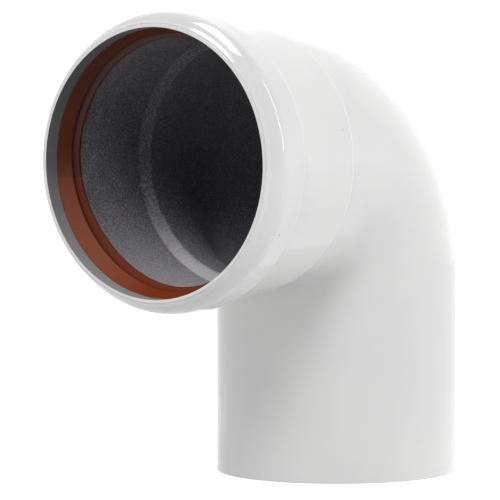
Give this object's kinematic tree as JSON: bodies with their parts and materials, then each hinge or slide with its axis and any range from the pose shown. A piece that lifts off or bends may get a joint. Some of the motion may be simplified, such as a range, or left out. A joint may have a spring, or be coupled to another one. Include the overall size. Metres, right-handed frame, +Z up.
{
  "type": "flue elbow",
  "caption": "Single-wall 90 degree flue elbow, 80 mm: plain spigot one end, collared socket with a silicone lip seal the other.",
  "frame": {"origin": "centre of the spigot's end face, where the pipe below takes it", "axes": "+Z up along the spigot's axis, -Y out of the socket's mouth, +X to the right seen from the mouth's front"},
  "size_m": [0.0938, 0.141, 0.1516],
  "materials": {
    "powder_coated_aluminium": "satin",
    "silicone_rubber": "satin"
  },
  "bodies": {
    "root": {"elbow_casting": "powder_coated_aluminium", "lip_seal": "silicone_rubber"}
  },
  "joints": []
}
